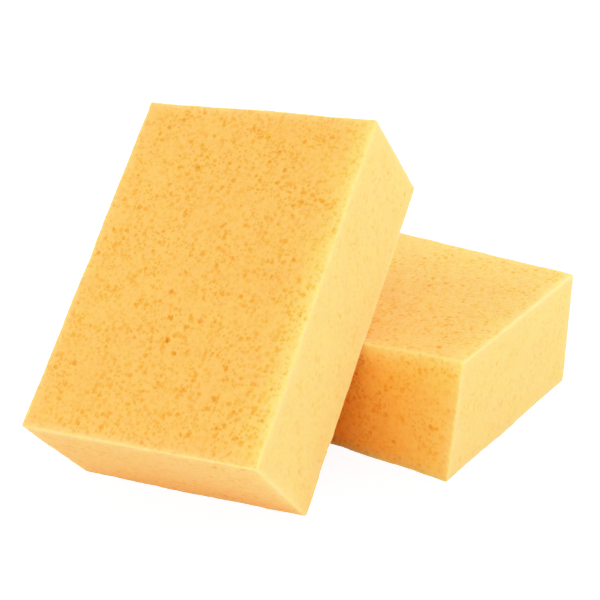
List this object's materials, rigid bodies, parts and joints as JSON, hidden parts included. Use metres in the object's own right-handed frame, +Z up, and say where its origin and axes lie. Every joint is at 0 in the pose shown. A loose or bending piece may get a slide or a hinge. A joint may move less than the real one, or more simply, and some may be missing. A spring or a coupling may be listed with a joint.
{
  "type": "grouting sponge pair",
  "caption": "Pair of rectangular open-cell foam sponges for wiping grout: one lies flat, the other stands on its short edge and leans on it.",
  "frame": {"origin": "on the surface that the sponges stand on, under the middle of the pair's bounding box", "axes": "+Z up; +X along the lying sponge's length, to the right as seen from the front; -Y is the front, where the leaning sponge stands"},
  "size_m": [0.1655, 0.2381, 0.1554],
  "materials": {
    "lying_foam": "matte",
    "leaning_foam": "matte"
  },
  "bodies": {
    "lying_sponge": {"lying_sponge": "lying_foam"},
    "leaning_sponge": {"leaning_sponge": "leaning_foam"}
  },
  "joints": [
    {"name": "lift", "type": "slide", "parent": "lying_sponge", "child": "leaning_sponge", "axis": [0, 0, 1], "range_m": [0, 0.1]}
  ]
}
